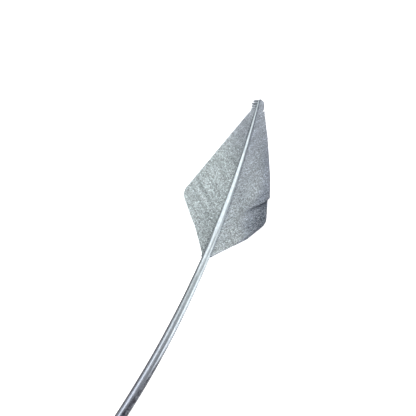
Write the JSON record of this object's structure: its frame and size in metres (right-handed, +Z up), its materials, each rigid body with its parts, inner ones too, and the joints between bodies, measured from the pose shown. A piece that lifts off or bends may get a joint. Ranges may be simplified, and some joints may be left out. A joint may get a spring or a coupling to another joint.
{
  "type": "turkey quill feather",
  "caption": "Silver painted turkey quill feather: a long bare curved shaft with its vanes trimmed to a pointed lozenge at the tip.",
  "frame": {"origin": "middle of the box's underside, on the surface that the feather lies on", "axes": "+Y from the quill's end towards the tip, +Z up out of the face that the picture shows, +X towards the vane with the slit"},
  "size_m": [0.0508, 0.2832, 0.0131],
  "materials": {
    "silver_painted_keratin": "satin silver spray paint over horn, with a fine sparkle on the vanes"
  },
  "bodies": {
    "root": {"feather": "silver_painted_keratin"}
  },
  "joints": []
}
